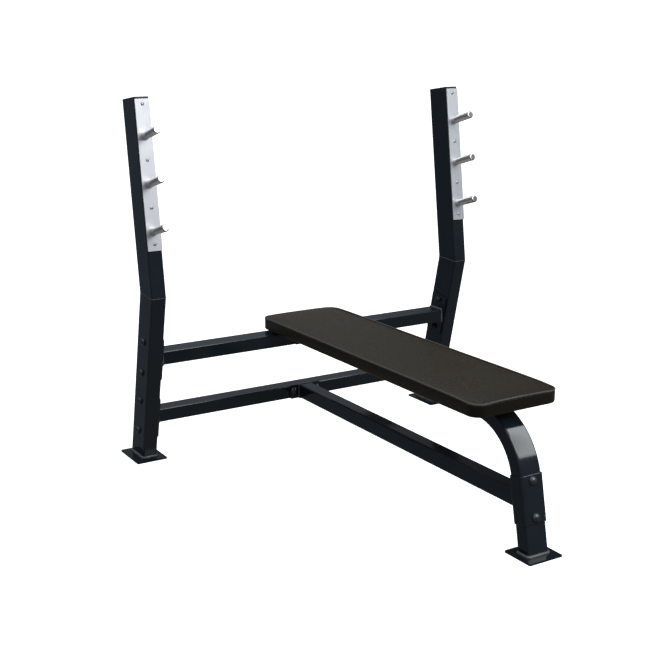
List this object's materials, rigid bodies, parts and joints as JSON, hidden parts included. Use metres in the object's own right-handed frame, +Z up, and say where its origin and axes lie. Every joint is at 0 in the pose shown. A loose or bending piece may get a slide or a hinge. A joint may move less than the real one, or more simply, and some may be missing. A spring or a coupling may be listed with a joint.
{
  "type": "olympic bench press",
  "caption": "Flat bench for barbell presses, with two cranked uprights carrying chrome rack pins and a padded seat on a bent steel rail.",
  "frame": {"origin": "on the floor, in the middle of the bounding box's base", "axes": "+Z up, +Y from the front foot towards the rack, +X to the right as seen from the front foot"},
  "size_m": [1.305, 1.424, 1.1999],
  "materials": {
    "frame_paint": "semi-gloss near-black powder coat with a slight blue cast",
    "cap_plastic": "matte black moulded plastic",
    "satin_plate": "satin bare metal, light and even",
    "chrome_pin": "polished chrome",
    "steel_screw": "dull zinc",
    "zinc_hardware": "bright zinc",
    "black_hardware": "satin black oxide",
    "pad_vinyl": "fine-grained black vinyl, low sheen",
    "board_wood": "bare plywood"
  },
  "bodies": {
    "root": {"front_leg_foot_plate": "frame_paint", "front_leg_sleeve": "frame_paint", "front_leg_sleeve_bolts": "black_hardware", "front_leg_sleeve_nuts": "black_hardware", "left_crossbar_bolts": "black_hardware", "left_crossbar_nuts": "black_hardware", "left_rack_pin_lower": "chrome_pin", "left_rack_pin_middle": "chrome_pin", "left_rack_pin_upper": "chrome_pin", "left_rack_plate": "satin_plate", "left_rack_plate_screws": "steel_screw", "left_upright_foot_plate": "frame_paint", "left_upright_lower_tube": "frame_paint", "left_upright_top_cap": "cap_plastic", "left_upright_upper_tube": "frame_paint", "lower_crossbar_left_flange": "frame_paint", "lower_crossbar_right_flange": "frame_paint", "lower_crossbar_tube": "frame_paint", "main_beam_bolts": "black_hardware", "main_beam_flange": "frame_paint", "main_beam_nuts": "black_hardware", "main_beam_tube": "frame_paint", "pad_board": "board_wood", "pad_bolts": "zinc_hardware", "pad_bracket_front": "frame_paint", "pad_bracket_rear": "frame_paint", "pad_cushion": "pad_vinyl", "pad_tee_nuts": "zinc_hardware", "right_crossbar_bolts": "black_hardware", "right_crossbar_nuts": "black_hardware", "right_rack_pin_lower": "chrome_pin", "right_rack_pin_middle": "chrome_pin", "right_rack_pin_upper": "chrome_pin", "right_rack_plate": "satin_plate", "right_rack_plate_screws": "steel_screw", "right_upright_foot_plate": "frame_paint", "right_upright_lower_tube": "frame_paint", "right_upright_top_cap": "cap_plastic", "right_upright_upper_tube": "frame_paint", "seat_rail_and_leg_tube": "frame_paint", "seat_rail_bolts": "black_hardware", "seat_rail_flange": "frame_paint", "seat_rail_nuts": "black_hardware", "upper_crossbar_left_flange": "frame_paint", "upper_crossbar_right_flange": "frame_paint", "upper_crossbar_tube": "frame_paint"}
  },
  "joints": []
}
